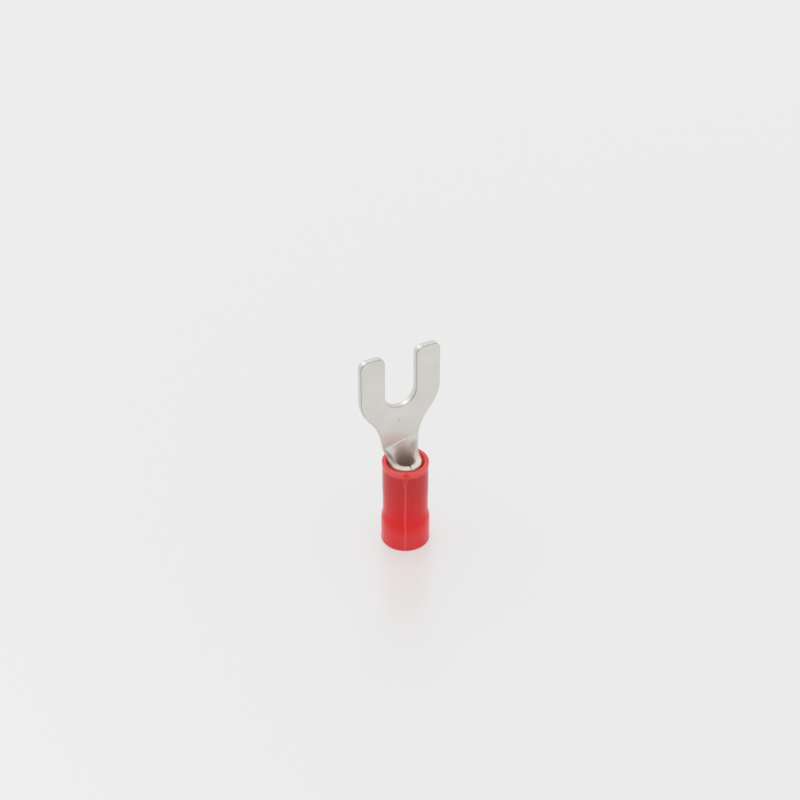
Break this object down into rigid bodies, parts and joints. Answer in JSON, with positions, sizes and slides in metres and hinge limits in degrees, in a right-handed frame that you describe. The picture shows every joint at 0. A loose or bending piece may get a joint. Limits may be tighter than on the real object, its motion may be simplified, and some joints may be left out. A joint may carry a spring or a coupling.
{
  "type": "insulated fork terminal",
  "caption": "Crimp fork terminal: tinned copper tongue with an open slot for an M3 stud, rolled wire barrel and a red PVC sleeve with a wider wire entry.",
  "frame": {"origin": "middle of the wire entry face, on which the terminal stands", "axes": "+Z along the wire barrel towards the tines, X across the fork, -Y out of the tongue's front face and the barrel's seam"},
  "size_m": [0.008, 0.0046, 0.0203],
  "materials": {
    "tinned_copper": "satin tin plate on stamped copper sheet",
    "red_pvc": "soft moulded PVC, slightly translucent"
  },
  "bodies": {
    "root": {"fork_contact": "tinned_copper", "insulating_sleeve": "red_pvc"}
  },
  "joints": []
}
